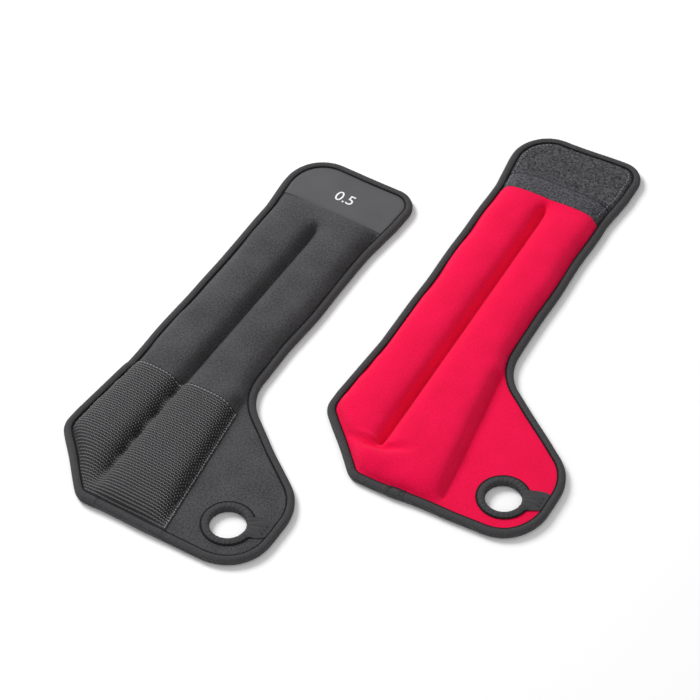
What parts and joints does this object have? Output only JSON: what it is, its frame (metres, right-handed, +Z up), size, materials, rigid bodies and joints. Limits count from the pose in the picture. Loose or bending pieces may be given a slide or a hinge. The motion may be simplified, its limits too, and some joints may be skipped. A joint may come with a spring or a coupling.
{
  "type": "thumb loop wrist and ankle cuff weight pair",
  "caption": "A pair of flat, shot-filled cuff weights, left and right hand, that wrap the wrist with a thumb loop and close with hook and loop.",
  "frame": {"origin": "on the surface, under the middle of the pair's box", "axes": "+Z up from the surface; +Y along the left cuff, from its palm end to its tab; +X across the left cuff towards its thumb flap"},
  "size_m": [0.318, 0.4698, 0.015],
  "materials": {
    "outer_cover": "matt grey jersey over thin foam",
    "lining": "red jersey over thin foam",
    "binding": "black woven tape",
    "loop_patch": "black knitted loop mesh",
    "hook_panel": "charcoal hook fastener",
    "end_panel": "smooth satin coated cloth",
    "shot_bag": "plain grey woven cloth"
  },
  "bodies": {
    "left_palm": {"left_edge_binding_palm": "binding", "left_lining_1": "lining", "left_loop_patch_1": "loop_patch", "left_outer_cover_1": "outer_cover", "left_shot_bag_plain_side_1": "shot_bag", "left_shot_bag_thumb_side_1": "shot_bag", "left_thumb_ring": "binding"},
    "left_lower": {"left_edge_binding_plain_side_2": "binding", "left_edge_binding_thumb_side_2": "binding", "left_lining_2": "lining", "left_loop_patch_2": "loop_patch", "left_outer_cover_2": "outer_cover", "left_shot_bag_plain_side_2": "shot_bag", "left_shot_bag_thumb_side_2": "shot_bag"},
    "left_middle": {"left_edge_binding_plain_side_3": "binding", "left_edge_binding_thumb_side_3": "binding", "left_lining_3": "lining", "left_outer_cover_3": "outer_cover", "left_shot_bag_plain_side_3": "shot_bag", "left_shot_bag_thumb_side_3": "shot_bag"},
    "left_upper": {"left_edge_binding_plain_side_4": "binding", "left_edge_binding_thumb_side_4": "binding", "left_hook_backing": "hook_panel", "left_lining_4": "lining", "left_outer_cover_4": "outer_cover", "left_shot_bag_plain_side_4": "shot_bag", "left_shot_bag_thumb_side_4": "shot_bag"},
    "left_tab": {"left_edge_binding_tab": "binding", "left_end_panel": "end_panel", "left_hook_panel": "hook_panel"},
    "right_palm": {"right_edge_binding_palm": "binding", "right_lining_1": "lining", "right_loop_patch_1": "loop_patch", "right_outer_cover_1": "outer_cover", "right_shot_bag_plain_side_1": "shot_bag", "right_shot_bag_thumb_side_1": "shot_bag", "right_thumb_ring": "binding"},
    "right_lower": {"right_edge_binding_plain_side_2": "binding", "right_edge_binding_thumb_side_2": "binding", "right_lining_2": "lining", "right_loop_patch_2": "loop_patch", "right_outer_cover_2": "outer_cover", "right_shot_bag_plain_side_2": "shot_bag", "right_shot_bag_thumb_side_2": "shot_bag"},
    "right_middle": {"right_edge_binding_plain_side_3": "binding", "right_edge_binding_thumb_side_3": "binding", "right_lining_3": "lining", "right_outer_cover_3": "outer_cover", "right_shot_bag_plain_side_3": "shot_bag", "right_shot_bag_thumb_side_3": "shot_bag"},
    "right_upper": {"right_edge_binding_plain_side_4": "binding", "right_edge_binding_thumb_side_4": "binding", "right_hook_backing": "hook_panel", "right_lining_4": "lining", "right_outer_cover_4": "outer_cover", "right_shot_bag_plain_side_4": "shot_bag", "right_shot_bag_thumb_side_4": "shot_bag"},
    "right_tab": {"right_edge_binding_tab": "binding", "right_end_panel": "end_panel", "right_hook_panel": "hook_panel"}
  },
  "joints": [
    {"name": "left_lift", "type": "slide", "parent": "right_middle", "child": "left_palm", "axis": [0, 0, 1], "range_m": [0, 0.1]},
    {"name": "left_palm_bend", "type": "hinge", "parent": "left_palm", "child": "left_lower", "pos_m": [-0.10946, -0.16371, -0.00015], "axis": [-1, 0, 0], "range_deg": [0, 103.9]},
    {"name": "left_wrap", "type": "hinge", "parent": "left_lower", "child": "left_middle", "pos_m": [-0.10946, -0.07601, -0.00015], "axis": [-1, 0, 0], "range_deg": [0, 95.1]},
    {"name": "left_upper_bend", "type": "hinge", "parent": "left_middle", "child": "left_upper", "pos_m": [-0.10946, 0.01539, -0.00015], "axis": [-1, 0, 0], "range_deg": [0, 73.4]},
    {"name": "left_tab_bend", "type": "hinge", "parent": "left_upper", "child": "left_tab", "pos_m": [-0.10946, 0.07909, -0.00015], "axis": [-1, 0, 0], "range_deg": [0, 87.3]},
    {"name": "right_wrap", "type": "hinge", "parent": "right_middle", "child": "right_lower", "pos_m": [0.02764, 0.03346, 0.01405], "axis": [-0.9986, -0.0523, 0], "range_deg": [0, 98.5]},
    {"name": "right_palm_bend", "type": "hinge", "parent": "right_lower", "child": "right_palm", "pos_m": [0.03223, -0.05412, 0.01405], "axis": [-0.9986, -0.0523, 0], "range_deg": [0, 101.6]},
    {"name": "right_upper_bend", "type": "hinge", "parent": "right_middle", "child": "right_upper", "pos_m": [0.02285, 0.12474, 0.01405], "axis": [0.9986, 0.0523, 0], "range_deg": [0, 64.8]},
    {"name": "right_tab_bend", "type": "hinge", "parent": "right_upper", "child": "right_tab", "pos_m": [0.01952, 0.18835, 0.00565], "axis": [0.9986, 0.0523, 0], "range_deg": [0, 94.6]}
  ],
  "couplings": [
    {"joint": "left_palm_bend", "follows": "left_wrap", "ratio": 1.0915},
    {"joint": "left_upper_bend", "follows": "left_wrap", "ratio": 0.77077},
    {"joint": "left_tab_bend", "follows": "left_wrap", "ratio": 0.91693},
    {"joint": "right_palm_bend", "follows": "right_wrap", "ratio": 1.0305},
    {"joint": "right_upper_bend", "follows": "right_wrap", "ratio": 0.65685},
    {"joint": "right_tab_bend", "follows": "right_wrap", "ratio": 0.95939},
    {"joint": "left_lift", "follows": "left_wrap", "m_per_rad": 0.059404}
  ]
}
